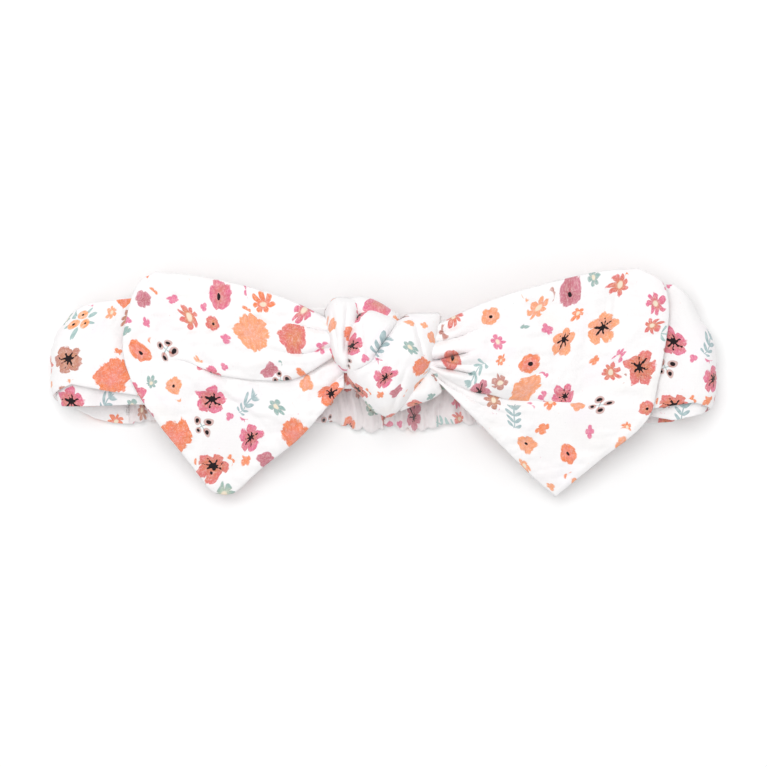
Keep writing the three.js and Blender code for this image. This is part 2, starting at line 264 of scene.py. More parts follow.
class Graph:
    """Short names for the shader nodes that the materials are built from."""

    def __init__(self, name, roughness, sheen):
        self.material = bpy.data.materials.new(name)
        self.material.use_nodes = True
        self.tree = self.material.node_tree
        self.shader = self.tree.nodes["Principled BSDF"]
        self.shader.inputs["Roughness"].default_value = roughness
        self.shader.inputs["Sheen Weight"].default_value = sheen
        self.shader.inputs["Sheen Roughness"].default_value = 0.5
        self.shader.inputs["Specular IOR Level"].default_value = 0.25

    def put(self, value, socket):
        if isinstance(value, bpy.types.NodeSocket):
            self.tree.links.new(value, socket)
        else:
            socket.default_value = value

    def node(self, kind, *values, **settings):
        made = self.tree.nodes.new("ShaderNode" + kind)
        for key, value in settings.items():
            setattr(made, key, value)
        for socket, value in zip(made.inputs, values):
            self.put(value, socket)
        return made

    def math(self, operation, *values, clamp=False):
        return self.node("Math", *values, operation=operation, use_clamp=clamp).outputs[0]

    def parts(self, place):
        return self.node("SeparateXYZ", place).outputs

    def times(self, *values, clamp=False):
        return self.math("MULTIPLY", *values, clamp=clamp)

    def plus(self, *values):
        return self.math("ADD", *values)

    def minus(self, *values):
        return self.math("SUBTRACT", *values)

    def most(self, *values):
        return self.math("MAXIMUM", *values)

    def vector(self, operation, *values):
        made = self.node("VectorMath", *values, operation=operation)
        return made.outputs["Value" if operation == "LENGTH" else "Vector"]

    def step(self, value, start, end, first=0.0, last=1.0):
        made = self.node("MapRange", value, start, end, first, last, interpolation_type="SMOOTHSTEP")
        return made.outputs[0]

    def mix(self, share, first, second):
        """A blend of two colours, each of them a socket or (red, green, blue)."""
        made = self.node("Mix", data_type="RGBA")
        self.put(share, made.inputs[0])
        for number, colour in ((6, first), (7, second)):
            self.put((*colour, 1.0) if isinstance(colour, tuple) else colour, made.inputs[number])
        return made.outputs[2]

    def noise(self, place, scale, detail=2.0, roughness=0.5):
        made = self.node("TexNoise", noise_dimensions="2D")
        self.put(place, made.inputs["Vector"])
        made.inputs["Scale"].default_value = scale
        made.inputs["Detail"].default_value = detail
        made.inputs["Roughness"].default_value = roughness
        return made.outputs

    def cells(self, place, spacing, feature, loose=1.0):
        """A pattern of cells, `spacing` millimetres wide, whose middles stray from a grid by `loose`."""
        made = self.node("TexVoronoi", voronoi_dimensions="2D", feature=feature)
        self.put(place, made.inputs["Vector"])
        made.inputs["Scale"].default_value = 1 / (spacing * MM)
        made.inputs["Randomness"].default_value = loose
        return made.outputs

    def bump(self, height, strength, depth):
        """Raises the surface by the height, `depth` metres for each 1 of it."""
        made = self.node("Bump")
        made.inputs["Strength"].default_value = strength
        made.inputs["Distance"].default_value = depth
        self.put(height, made.inputs["Height"])
        self.put(made.outputs[0], self.shader.inputs["Normal"])

    def choose(self, share, values):
        """Steps through the values, each for its (end of share), as the share goes from 0 to 1."""
        ramp = self.node("ValToRGB", share)
        ramp.color_ramp.interpolation = "CONSTANT"
        stops = ramp.color_ramp.elements
        begin = 0.0
        for number, (end, value) in enumerate(values):
            stop = stops[number] if number < 2 else stops.new(begin)
            stop.position = begin
            stop.color = (*value, 1.0)
            begin = end
        return ramp.outputs[0]


PINK = (0.76, 0.14, 0.29)
CORAL = (0.74, 0.15, 0.16)
ORANGE = (0.88, 0.22, 0.06)
PEACH = (0.93, 0.35, 0.15)
DUSTY = (0.52, 0.21, 0.17)
MAUVE = (0.62, 0.21, 0.28)
SAGE = (0.25, 0.43, 0.40)
SLATE = (0.21, 0.32, 0.36)
CREAM = (0.86, 0.74, 0.58)
INK = (0.012, 0.006, 0.008)
CLOTH_WHITE = (0.92, 0.905, 0.905)

# Kinds of bloom: end of its share of the cells, radius in mm, petals, how deep the petals are cut, heart.
# Hearts: 0 plain, 0.25 small black dot, 0.5 pale eye, 0.75 black starburst.
BLOOMS = (
    (0.25, 0.0, 5, 0.3, 0.0),  # left to the posies
    (0.33, 4.0, 5, 0.40, 0.75),
    (0.44, 4.6, 8, 0.15, 0.0),
    (0.62, 2.9, 5, 0.18, 0.25),
    (0.82, 2.9, 7, 0.62, 0.5),
    (1.00, 2.5, 4, 0.30, 0.0),
)
SMALL_BLOOMS = (
    (0.52, 0.0, 4, 0.5, 0.0),
    (0.72, 1.7, 4, 0.50, 0.0),
    (0.88, 2.1, 6, 0.60, 0.5),
    (1.00, 1.3, 3, 0.45, 0.0),
)
# Paints: end of its share of the flowers, its colour, and what that turns to at the flower's heart.
PAINTS = (
    (0.24, PINK, (0.66, 0.22, 0.16)),
    (0.46, ORANGE, (0.82, 0.24, 0.20)),
    (0.60, CORAL, (0.70, 0.25, 0.10)),
    (0.70, PEACH, (0.86, 0.38, 0.26)),
    (0.80, MAUVE, (0.48, 0.13, 0.16)),
    (0.91, DUSTY, (0.62, 0.30, 0.16)),
    (1.00, SAGE, (0.48, 0.58, 0.44)),
)
BLOOM_COLOURS = [(end, colour) for end, colour, _ in PAINTS]
HEART_COLOURS = [(end, heart) for end, _, heart in PAINTS]
SMALL_COLOURS = (
    (0.30, PEACH),
    (0.55, PINK),
    (0.75, ORANGE),
    (0.90, DUSTY),
    (1.00, SAGE),
)
BIGGEST_BLOOM = 10.0  # radii and petal counts are divided by this to fit a ramp's 0..1


def scatter(graph, place, spacing, shift, loose):
    """One random point per cell: the place within its cell in mm, turned at random, three random
    numbers, and the room up to the next cell in mm."""
    moved = graph.vector("ADD", place, shift)
    cells = graph.cells(moved, spacing, "F1", loose)
    room = graph.cells(moved, spacing, "N_SPHERE_RADIUS", loose)
    local = graph.vector("SUBTRACT", moved, cells["Position"])
    local = graph.vector("MULTIPLY", local, (1 / MM, 1 / MM, 0.0))
    draws = graph.node("SeparateColor", cells["Color"]).outputs
    turn = graph.times(draws[2], 2 * math.pi)
    spin = graph.node("VectorRotate", rotation_type="Z_AXIS")
    graph.put(local, spin.inputs["Vector"])
    graph.put(turn, spin.inputs["Angle"])
    free = graph.times(room["Radius"], spacing * 1.15)
    return spin.outputs[0], draws, free


def blooms(graph, place, spacing, shift, kinds, colours, hearts, loose):
    """Painted flowers: returns their mask, their colour and the distance beyond each flower's rim, and
    then the place in the cell and the cell's random numbers, as `scatter` gives them."""
    local, draws, free = scatter(graph, place, spacing, shift, loose)
    xyz = graph.parts(local)
    distance = graph.vector("LENGTH", local)
    angle = graph.math("ARCTAN2", xyz[1], xyz[0])
    shapes = [
        (end, (size / BIGGEST_BLOOM, petals / BIGGEST_BLOOM, depth)) for end, size, petals, depth, _ in kinds
    ]
    heart_kinds = [(end, (kind,) * 3) for end, _, _, _, kind in kinds]
    shape = graph.node("SeparateColor", graph.choose(draws[0], shapes)).outputs
    heart = graph.node("SeparateColor", graph.choose(draws[0], heart_kinds)).outputs[0]

    # The rim: a circle cut into petals, made uneven and frayed by noise.
    radius = graph.times(shape[0], BIGGEST_BLOOM)
    radius = graph.times(radius, graph.plus(0.85, graph.times(draws[2], 0.3)))
    radius = graph.math("MINIMUM", radius, free)
    petals = graph.times(shape[1], BIGGEST_BLOOM / 2)
    uneven = graph.noise(place, 1 / (3.1 * MM), 1.0)[0]
    swing = graph.plus(angle, graph.times(graph.minus(uneven, 0.5), 0.9))
    wave = graph.math("ABSOLUTE", graph.math("COSINE", graph.times(swing, petals)))
    wave = graph.math("POWER", wave, 0.6)
    cut = graph.times(shape[2], graph.minus(1.0, wave))
    fray = graph.noise(place, 1 / (1.2 * MM), 3.0)[0]
    fray = graph.times(graph.minus(fray, 0.5), 0.34)
    reach = graph.minus(graph.plus(1.0, fray), cut)
    rim = graph.times(radius, reach)
    beyond = graph.minus(distance, rim)
    mask = graph.step(beyond, 0.20, -0.20)

    # The paint: two colours washed into each other, with pale grains and darker veins.
    share = graph.math("DIVIDE", distance, graph.most(radius, 0.1))
    paint = graph.choose(draws[1], colours)
    middle = graph.choose(draws[1], hearts)
    wash = graph.noise(place, 1 / (2.4 * MM), 4.0, 0.65)[0]
    blend = graph.plus(graph.step(share, 0.95, 0.10), graph.step(wash, 0.35, 0.75, 0.0, 0.7))
    colour = graph.mix(graph.times(blend, 0.62, clamp=True), paint, middle)
    grain = graph.noise(place, 1 / (0.42 * MM), 2.0, 0.7)[0]
    streak = graph.noise(place, 1 / (1.1 * MM), 3.0, 0.6)[0]
    pale_grain = graph.step(grain, 0.42, 0.78, 0.0, 0.32)
    pale_streak = graph.step(streak, 0.45, 0.8, 0.0, 0.22)
    light = graph.plus(pale_grain, pale_streak)
    colour = graph.mix(light, colour, (1.0, 0.84, 0.80))
    dark = graph.mix(0.45, colour, (0.40, 0.08, 0.06))
    vein = graph.times(graph.minus(1.0, wave), graph.step(share, 0.15, 0.6))
    colour = graph.mix(graph.times(vein, 0.5), colour, dark)

    # The heart: a pale eye, a black dot, or a black starburst in a bruise.
    def is_heart(level):
        return graph.math("COMPARE", heart, level, 0.1)

    eye = graph.times(is_heart(0.5), graph.step(share, 0.36, 0.20))
    colour = graph.mix(eye, colour, CREAM)
    dot_edge = graph.plus(0.17, graph.times(fray, 0.35))
    dot = graph.times(is_heart(0.25), graph.math("LESS_THAN", share, dot_edge))
    ray = graph.math("ABSOLUTE", graph.math("COSINE", graph.times(swing, 3.5)))
    blot = graph.noise(place, 1 / (0.9 * MM), 2.0)[0]
    ray = graph.times(graph.math("POWER", ray, 4.0), graph.step(blot, 0.3, 0.7, 0.08, 0.50))
    burst_edge = graph.plus(graph.plus(0.19, ray), graph.times(fray, 0.8))
    burst = graph.times(is_heart(0.75), graph.math("LESS_THAN", share, burst_edge))
    bruise = graph.times(is_heart(0.75), graph.step(share, 0.75, 0.2, 0.0, 0.5))
    colour = graph.mix(bruise, colour, dark)
    colour = graph.mix(graph.most(dot, burst), colour, INK)
    return mask, colour, beyond, local, draws


def ring_of(graph, local, count, reach, turn=0.0):
    """Places measured from the nearest of `count` spots on a circle: outwards from it, and round from it."""
    xyz = graph.parts(local)
    sector = 2 * math.pi / count
    angle = graph.plus(graph.math("ARCTAN2", xyz[1], xyz[0]), turn + 2 * math.pi)
    folded = graph.minus(graph.math("FLOORED_MODULO", angle, sector), sector / 2)
    distance = graph.vector("LENGTH", local)
    out = graph.minus(graph.times(distance, graph.math("COSINE", folded)), reach)
    return out, graph.times(distance, graph.math("SINE", folded))


def spot(graph, out, along, length, width):
    """An oval round the nearest spot of a ring, as a mask."""
    oval = graph.plus(
        graph.math("POWER", graph.math("DIVIDE", out, length), 2.0),
        graph.math("POWER", graph.math("DIVIDE", along, width), 2.0),
    )
    return graph.step(oval, 1.2, 0.75)


def leafy_stem(graph, local):
    xyz = graph.parts(local)
    bend = graph.times(graph.math("SINE", graph.times(xyz[0], 0.5)), 0.7)
    across = graph.minus(xyz[1], bend)
    side = graph.math("ABSOLUTE", across)
    reach = graph.math("ABSOLUTE", xyz[0])
    stem = graph.times(graph.step(side, 0.26, 0.08), graph.step(reach, 3.9, 3.5))
    pitch = 2.2
    along = graph.minus(graph.math("FLOORED_MODULO", xyz[0], pitch), pitch / 2)
    outward_part = graph.minus(side, 0.95)
    lean = graph.times(graph.plus(along, outward_part), 0.707)
    flank = graph.times(graph.minus(along, outward_part), 0.707)
    leaf = graph.times(spot(graph, lean, flank, 1.25, 0.55), graph.step(reach, 3.7, 3.3))
    return graph.most(stem, leaf)


def without_bloom(graph, draws):
    """1 in the cells that are left to the posies, and 0 in the others."""
    return graph.math("LESS_THAN", draws[0], BLOOMS[0][0])


def posies(graph, local, draws):
    """What stands in the cells that hold no flower: leafy stems, black berries on stalks, and three small
    flowers among leaves. Returns the mask and the colour."""
    leaf_tint = graph.mix(draws[2], SAGE, SLATE)
    wash = graph.noise(local, 1.1, 3.0)[0]
    leaf_tint = graph.mix(graph.times(wash, 0.7), leaf_tint, (0.75, 0.86, 0.85))
    stem = leafy_stem(graph, local)

    ring = ring_of(graph, local, 4, 1.9)
    berry = spot(graph, *ring, 0.55, 0.62)
    halo = spot(graph, *ring, 1.15, 1.05)
    stalk = spot(graph, *ring_of(graph, local, 4, 1.0, 0.3), 1.3, 0.14)
    berry_mask = graph.most(graph.times(halo, 0.65), stalk)
    berry_mask = graph.most(berry_mask, berry)
    berry_tint = graph.mix(halo, leaf_tint, DUSTY)
    berry_tint = graph.mix(berry, berry_tint, INK)

    ring = ring_of(graph, local, 3, 1.9)
    small = spot(graph, *ring, 1.55, 1.45)
    pip = spot(graph, *ring, 0.36, 0.36)
    leaves = spot(graph, *ring_of(graph, local, 3, 3.5, math.pi / 3), 1.5, 0.62)
    more_leaves = spot(graph, *ring_of(graph, local, 5, 3.6, 0.5), 1.2, 0.45)
    leaves = graph.most(leaves, more_leaves)
    posy_mask = graph.most(small, leaves)
    bloom_tint = graph.mix(graph.step(wash, 0.35, 0.7, 0.0, 0.5), PEACH, (1.0, 0.85, 0.72))
    posy_tint = graph.mix(small, leaf_tint, bloom_tint)
    posy_tint = graph.mix(pip, posy_tint, INK)

    stems_end, berries_end = 0.40, 0.68  # shares of the draw that decides
    is_posy = graph.math("GREATER_THAN", draws[1], berries_end)
    past_stems = graph.math("GREATER_THAN", draws[1], stems_end)
    is_berry = graph.times(past_stems, graph.math("LESS_THAN", draws[1], berries_end))
    is_stem = graph.math("LESS_THAN", draws[1], stems_end)
    mask = graph.times(stem, is_stem)
    mask = graph.plus(mask, graph.times(berry_mask, is_berry))
    mask = graph.plus(mask, graph.times(posy_mask, is_posy))
    tint = graph.mix(is_berry, leaf_tint, berry_tint)
    tint = graph.mix(is_posy, tint, posy_tint)
    return graph.times(mask, without_bloom(graph, draws)), tint


def weave_height(graph, place):
    """Fine crossing threads and a crinkle that runs across the cloth, as a height of about 0..2."""
    xyz = graph.parts(place)
    thread = 2 * math.pi / (0.42 * MM)
    warp = graph.math("SINE", graph.times(xyz[0], thread))
    weft = graph.math("SINE", graph.times(xyz[1], thread))
    woven = graph.times(graph.plus(warp, weft), 0.10)
    pulled = graph.vector("MULTIPLY", place, (1.0, 0.35, 1.0))
    crinkle = graph.noise(pulled, 1 / (1.6 * MM), 3.0, 0.55)[0]
    slack = graph.noise(place, 1 / (7.0 * MM), 2.0, 0.5)[0]
    height = graph.plus(woven, graph.times(crinkle, 0.9))
    return graph.plus(height, graph.times(slack, 1.2))


def floral_cloth(name, printed=1.0, tint=CLOTH_WHITE):
    """White crinkled muslin with painted flowers; `printed` is how strongly the print shows, and `tint` is
    the ground's colour: the cloth's own white, or on the gathered casing a darker, pinker ground that is
    painted shade.
    """
    graph = Graph(name, roughness=0.88, sheen=0.25)
    place = graph.node("Attribute", attribute_name="cloth").outputs["Vector"]
    warp = graph.noise(place, 1 / (9.0 * MM), 1.0)[1]
    warp = graph.vector("MULTIPLY", graph.vector("SUBTRACT", warp, (0.5, 0.5, 0.5)), (0.004, 0.004, 0.0))
    bent = graph.vector("ADD", place, warp)

    mask, colour, beyond, local, draws = blooms(
        graph, bent, 11.4, (0.0, 0.0, 0.0), BLOOMS, BLOOM_COLOURS, HEART_COLOURS, loose=0.74
    )
    small_mask, small_colour, _, _, _ = blooms(
        graph, bent, 7.0, (0.051, 0.023, 0.0), SMALL_BLOOMS, SMALL_COLOURS, SMALL_COLOURS, loose=0.8
    )
    leaf_mask, leaf_colour = posies(graph, local, draws)
    small_mask = graph.times(small_mask, graph.step(beyond, 1.5, 1.9))
    near_leaf = graph.times(without_bloom(graph, draws), graph.step(graph.vector("LENGTH", local), 5.2, 4.8))
    small_mask = graph.times(small_mask, graph.minus(1.0, near_leaf))

    # Faint pale spots lie under the print.
    ghost = graph.cells(graph.vector("ADD", bent, (0.013, 0.031, 0.0)), 11.0, "SMOOTH_F1")
    ghost_spot = graph.step(ghost["Distance"], 0.45, 0.15)
    ghost_tone = graph.mix(0.82, ghost["Color"], (0.93, 0.84, 0.86))
    ground = graph.mix(graph.times(ghost_spot, 0.14), tint, ghost_tone)
    tone = graph.noise(place, 1 / (5.0 * MM), 3.0)[0]
    ground = graph.mix(graph.times(tone, 0.10), ground, (0.80, 0.76, 0.80))

    height = weave_height(graph, place)
    # Painted highlight: where the weave and crinkle stand highest, the ground is made a little whiter.
    thread_highlight = graph.step(height, 0.6, 1.9)
    ground = graph.mix(graph.times(thread_highlight, 0.05), ground, (1.0, 1.0, 1.0))

    painted = graph.mix(graph.times(small_mask, 0.95 * printed), ground, small_colour)
    painted = graph.mix(graph.times(leaf_mask, printed), painted, leaf_colour)
    painted = graph.mix(graph.times(mask, printed), painted, colour)
    graph.put(painted, graph.shader.inputs["Base Color"])
    graph.bump(height, 0.55, 0.00022)
    return graph.material


def plain_cloth(name, colour, rib, rib_depth):
    """Undyed ribbed webbing or thread, with ribs across X."""
    graph = Graph(name, roughness=0.75, sheen=0.2)
    place = graph.node("TexCoord").outputs["Object"]
    xyz = graph.parts(place)
    ribs = graph.math("SINE", graph.times(xyz[0], 2 * math.pi / (rib * MM)))
    lines = graph.math("SINE", graph.times(xyz[1], 2 * math.pi / (rib * 1.7 * MM)))
    woven = graph.plus(ribs, graph.times(lines, 0.6))
    speckle = graph.noise(place, 1 / (1.1 * MM), 3.0)[0]
    shade = graph.plus(graph.step(woven, -1.6, 1.6, 0.0, 0.6), graph.times(speckle, 0.4))
    dark = tuple(0.72 * c for c in colour)
    graph.put(graph.mix(shade, dark, colour), graph.shader.inputs["Base Color"])
    graph.bump(woven, 0.7, rib_depth * MM)
    return graph.material


MUSLIN = floral_cloth("floral_muslin_cloth")
# The gathered casing's ground is painted darker and pinker than the muslin: painted shade, for the shade it
# lies in under the front band and the knot.
SHADED_GATHERED = floral_cloth("gathered_muslin_painted_shade", printed=0.9, tint=(0.86, 0.81, 0.81))
ELASTIC = plain_cloth("elastic_webbing", (0.86, 0.86, 0.83), rib=0.9, rib_depth=0.12)
SEAM_CLOTH = plain_cloth("seam_allowance", (0.93, 0.90, 0.90), rib=0.5, rib_depth=0.08)
THREAD = plain_cloth("white_thread", (0.90, 0.89, 0.88), rib=0.35, rib_depth=0.08)


# --- Join seams, where band, casing and elastic are caught together ---


def thread(name, path, radius):
    """A sewing thread along a path."""
    tangent = np.gradient(path, axis=0)
    tangent /= np.linalg.norm(tangent, axis=1, keepdims=True)
    helper = np.array([0.0, 1.0, 0.0]) + 0 * tangent
    first = np.cross(tangent, helper)
    first /= np.maximum(np.linalg.norm(first, axis=1, keepdims=True), 1e-9)
    second = np.cross(tangent, first)
    turn = np.linspace(0, 2 * math.pi, 6, endpoint=False)
    circle = first[:, None] * np.cos(turn)[:, None] + second[:, None] * np.sin(turn)[:, None]
    rings = path[:, None] + radius * circle
    length = np.concatenate([[0], np.cumsum(np.linalg.norm(np.diff(path, axis=0), axis=1))])
    cloth = np.stack([length[:, None] + 0 * turn, turn * radius + 0 * length[:, None]], axis=-1)
    return tube(name, rings, cloth, THREAD)


SEAM_INSET = 3.0  # from the end of the seam's CAD solid to the end of the sewn ridge


def join_seam(side, word):
    """The ridge where casing and band are caught together, with its overlocked thread."""
    node = f"join_seam_{word}"
    bottom, top = low(node), high(node)
    y = np.linspace(bottom[1] + SEAM_INSET, top[1] - SEAM_INSET, 120)
    turn = np.linspace(0, 2 * math.pi, 20, endpoint=False)
    half_x = (top[0] - bottom[0]) / 2 - 0.3
    half_z = (top[2] - bottom[2]) / 2 - 0.5
    pinch = 1 + 0.10 * np.sin(y * 2.9) + 0.06 * np.sin(y * 1.3 + 2)
    x = side * JOIN + half_x * pinch[:, None] * np.cos(turn)
    z = BACK_LEVEL + 0.1 + half_z * pinch[:, None] * np.sin(turn)
    rings = np.stack([x, y[:, None] + 0 * x, z], axis=-1)
    cloth = np.stack([x + 7, y[:, None] + 1.5 * z], axis=-1)
    ridge = tube(f"{node}_cloth", rings, cloth, SEAM_CLOTH)
    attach(ridge, f"back_{word}_outer")
    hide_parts(node)

    turns = 26
    t = np.linspace(0, 1, turns * 14)
    angle = 2 * math.pi * turns * t
    path_y = y[0] + 0.6 + t * (y[-1] - y[0] - 1.2)
    around = np.stack(
        [
            side * JOIN + (half_x + 0.08) * np.cos(angle),
            path_y,
            BACK_LEVEL + 0.1 + (half_z + 0.08) * np.sin(angle),
        ],
        axis=-1,
    )
    stitches = thread(f"{node}_overlock", around, 0.12)
    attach(stitches, f"back_{word}_outer")
    return ridge, stitches


# --- The loop: band and gathered casing, one closed sleeve cut into lengths between its bends ---

STRAIGHT = HALF - BAND_THICK / 2 - FOLD_RADIUS  # length of the flat front layer on one side
ARC = math.pi * FOLD_RADIUS
SECTION_POINTS = 44
S_BACK = STRAIGHT + ARC  # where the back layer starts, along the loop from its middle


def back_s(x):
    """The place along the loop of a point of the back layer that is x from the middle."""
    return S_BACK + STRAIGHT - x


def band_edges(s, side):
    """Lower and upper edge of the sleeve across the loop, at each place along it."""
    x_front = np.array([0, INNER, 32, OUTER, 66, 78, STRAIGHT])
    if side < 0:
        front_low = np.array([-1.5, -1.5, -2.6, -3.4, -3.9, -2.2, -0.2])
        front_high = np.array([17.5, 21.6, 21.0, 22.3, 24.6, 23.9, 22.9])
        fold_low = [-7.5, -10.0]
    else:
        front_low = np.array([-1.5, -1.5, -3.0, -5.5, -7.0, -7.0, -5.4])
        front_high = np.array([15.5, 15.8, 18.6, 22.5, 26.2, 28.2, 28.0])
        fold_low = [-9.6, -11.0]
    s_back = np.array([back_s(STRAIGHT), back_s(84), back_s(78), back_s(JOIN), back_s(0)])
    back_low = np.array([*fold_low, -11.3, -11.6, CASING_LOW])
    back_high = np.array([15.0, 14.2, 13.6, 13.3, CASING_HIGH])
    places = np.concatenate([x_front, s_back])
    return (
        np.interp(s, places, np.concatenate([front_low, back_low])),
        np.interp(s, places, np.concatenate([front_high, back_high])),
    )


def end_rounding(s, y):
    """How far the loop's flat end draws back towards its upper and lower edge."""
    corner = smooth(y, 8, 24) * 6.0 + smooth(-y, 2.5, 12) * 2.0
    return corner * smooth(s, STRAIGHT - 26, STRAIGHT)


TABLE_GAP = 0.1  # under the lowest cloth
GATHER_PITCH = 3.9  # from one gather of the casing to the next
INNER_FACE = 53.0  # how far the print is shifted on the sleeve's inner face
PRINT_SLACK = 0.6  # how much more print than length the gathers take up, as a share of the length


def loop_ring(s, side):
    """Rings of points round the sleeve at each place s along the loop, and their places on the cloth.
    `across` runs from edge to edge, `bulge` from the inner face to the outer one, and s2 is s for
    every point of a ring."""
    edge_low, edge_high = band_edges(s, side)
    turn = np.linspace(0, 2 * math.pi, SECTION_POINTS, endpoint=False) + math.pi / SECTION_POINTS
    across = -np.cos(turn)
    across = np.sign(across) * np.abs(across) ** 0.8
    bulge = np.sin(turn)
    bulge = np.sign(bulge) * np.abs(bulge) ** 0.7
    s2 = s[:, None] + 0 * across
    middle = ((edge_low + edge_high) / 2)[:, None]
    half_width = ((edge_high - edge_low) / 2)[:, None]

    # The gathers of the casing scallop its edges.
    gather = smooth(s, back_s(JOIN), back_s(JOIN) + 3.0)[:, None]
    phase = s2 * math.pi / GATHER_PITCH + 0.9 * np.sin(s2 / 5.1 + side) + 0.5 * np.sin(s2 / 2.3 + 2)
    lobe = np.abs(np.sin(phase)) ** 0.7 * (1.0 + 0.5 * np.sin(s2 / 3.7 + 1.0)) + 0.8 * np.sin(s2 / 4.1 + side)
    scallop = gather * (1.1 * lobe - 0.8)
    y = middle + across * (half_width + scallop)

    # Its face is pleated where it looks up, and the band's is only a little uneven.
    thick = BAND_THICK + (CASING_THICK - BAND_THICK) * gather - 0.5
    wander = 0.9 * np.sin(y / 4.1 + s2 / 9) * smooth(half_width - np.abs(y - middle), 0, 5)
    gathers = np.abs(np.sin(phase + wander)) ** 0.6 - 0.75
    gathers = gathers + 0.45 * np.abs(np.sin(1.9 * phase + 1.7 * wander + 1.0)) ** 0.7 - 0.3
    puff = thick / 2 * (1 + 0.10 * gather)
    sag = 0.35 * (1 - gather) * ripples(s2, y, 9.0, 5) + 0.12 * ripples(s2, y, 3.0, 6)
    upper = smooth(-bulge, 0, 0.6)  # 1 on the face that looks up from the table
    sag = sag - 1.9 * gather * (gathers + 0.4) * upper
    normal_offset = bulge * puff + sag * np.abs(bulge)

    # The sleeve runs out along the front layer, round the end fold, and back along the table.
    corner = end_rounding(s2, y) * smooth(s2, S_BACK + 22, S_BACK)
    u = np.clip((s2 - STRAIGHT) / ARC, 0, 1)
    x = np.where(s2 < STRAIGHT, s2, np.where(s2 > S_BACK, S_BACK + STRAIGHT - s2, STRAIGHT))
    x = x - corner
    z = FOLD_LEVEL + FOLD_RADIUS * np.cos(math.pi * u)
    x = x + FOLD_RADIUS * np.sin(math.pi * u)
    x = x + normal_offset * np.sin(math.pi * u)
    z = z + normal_offset * np.cos(math.pi * u)
    x = np.minimum(x, HALF)
    z = np.maximum(z, TABLE_GAP)
    rings = np.stack([side * x, y, z], axis=-1)
    inside = (bulge < 0) * INNER_FACE
    printed = s2 + gather * (s2 - back_s(JOIN)) * PRINT_SLACK
    cloth = np.stack([side * printed + inside, y + 0.5 * inside], axis=-1)
    return rings, cloth


GATHERED_PITCH = 0.35  # between the rings of the gathered casing


def loop_piece(
    name, side, s_from, s_to, body, other=None, nodes=(), pitch=0.55, trim=()
):
    """One length of the sleeve, riding on one body; a length that is given a second body is left where it is
    and rides on neither.
    """
    gathered = s_from >= back_s(JOIN) - 0.1
    count = max(6, int((s_to - s_from) / (GATHERED_PITCH if gathered else pitch)))
    s = np.linspace(s_from, s_to, count)
    rings, cloth = loop_ring(s, side)
    # Gathered lengths take the casing material, whose ground holds painted shade.
    piece = tube(name, rings, cloth, SHADED_GATHERED if gathered else MUSLIN)
    if other:
        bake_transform(piece)
    else:
        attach(piece, body)
    if nodes:
        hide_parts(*nodes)


PIVOT_GAP = 1.4  # from the open pivot to the band that stays with the knot


def at(x, z):
    """A place in metres, from x and z in millimetres."""
    return (x * MM, 0.0, z * MM)


CUT_FRONT = 64.0  # where the band's inner length gives way to its outer one


def build_side(side, word):
    """All lengths of the loop on one side, from the knot round the end fold to the middle of the back.
    The two places given with a length are where it starts and ends along the loop."""
    inner_mid = (INNER + OUTER) / 2
    front_inner, front_outer = f"front_{word}_inner", f"front_{word}_outer"
    back_inner, back_outer = f"back_{word}_inner", f"back_{word}_outer"
    fold = f"fold_{word}"
    if side < 0:
        loop_piece(
            "band_left_at_knot", side, 0.0, inner_mid, "front_centre", front_inner,
            ["band_run_centre"],
        )
    else:
        # The loop's open pivot: what lies inside it stays with the knot, what lies outside swings.
        loop_piece("band_centre_right", side, 0.0, INNER - PIVOT_GAP, "front_centre")
        loop_piece("band_right_at_knot", side, INNER - PIVOT_GAP / 2, inner_mid, front_inner)
    loop_piece(
        f"band_{word}_inner", side, inner_mid, CUT_FRONT, front_inner, front_outer,
        [f"band_run_{word}_inner"],
    )
    loop_piece(
        f"band_{word}_outer", side, CUT_FRONT, STRAIGHT + ARC / 2, front_outer, fold,
        [f"band_run_{word}_outer", f"band_end_fold_{word}"], pitch=0.4,
    )
    loop_piece(
        f"band_{word}_return", side, STRAIGHT + ARC / 2, back_s(JOIN), fold, back_outer,
        [f"band_return_{word}"], pitch=0.4,
    )
    loop_piece(
        f"casing_{word}_side", side, back_s(JOIN), back_s(inner_mid), back_outer, back_inner,
        [f"casing_{word}_outer"], trim=join_seam(side, word),
    )
    loop_piece(
        f"casing_{word}_middle", side, back_s(inner_mid), back_s(0), back_inner, "back_centre",
        [f"casing_{word}_inner"] + (["casing_centre"] if side < 0 else []),
    )


build_side(-1, "left")
build_side(1, "right")


# --- The tails: one folded sheet each, with a pleat that runs out of the knot and dies away ---


def coons(bottom, top, root, end, u, w):
    """A sheet between four edge curves. u runs from the root edge to the end edge, w from bottom to top."""
    near = bottom(u) * (1 - w)[..., None] + top(u) * w[..., None]
    far = root(w) * (1 - u)[..., None] + end(w) * u[..., None]
    corner = (
        root(0.0) * ((1 - u) * (1 - w))[..., None]
        + root(1.0) * ((1 - u) * w)[..., None]
        + end(0.0) * (u * (1 - w))[..., None]
        + end(1.0) * (u * w)[..., None]
    )
    return near + far - corner


def fold_share(edges, fold, along):
    """Where the folded edge crosses a tail, as a share of the width, at each place along the tail."""
    w = np.linspace(0, 1, 201)
    sheet = coons(*edges, *np.meshgrid(along, w, indexing="ij"))
    line = fold(w)
    line = line[np.argsort(line[:, 0])]
    above = sheet[..., 1] - np.interp(sheet[..., 0], line[:, 0], line[:, 1])
    return np.array([np.interp(0, row, w) for row in above])


TAIL_ROWS = 171
TAIL_COLUMNS = 141
CLOTH_SCALE = 0.05  # simulated length per millimetre, so that small folds are of a usual size for the solver
CLOTH_STEPS = 20
HANG_START = -7.0  # across the band, where a tail is clear of it and starts to hang


def hang(y):
    """How far a tail has sunk towards the table at y."""
    share = np.clip((HANG_START - y) / (HANG_START + SPREAD), 0, None)
    return (TAIL_LOW - TIP_LEVEL) * share**1.15


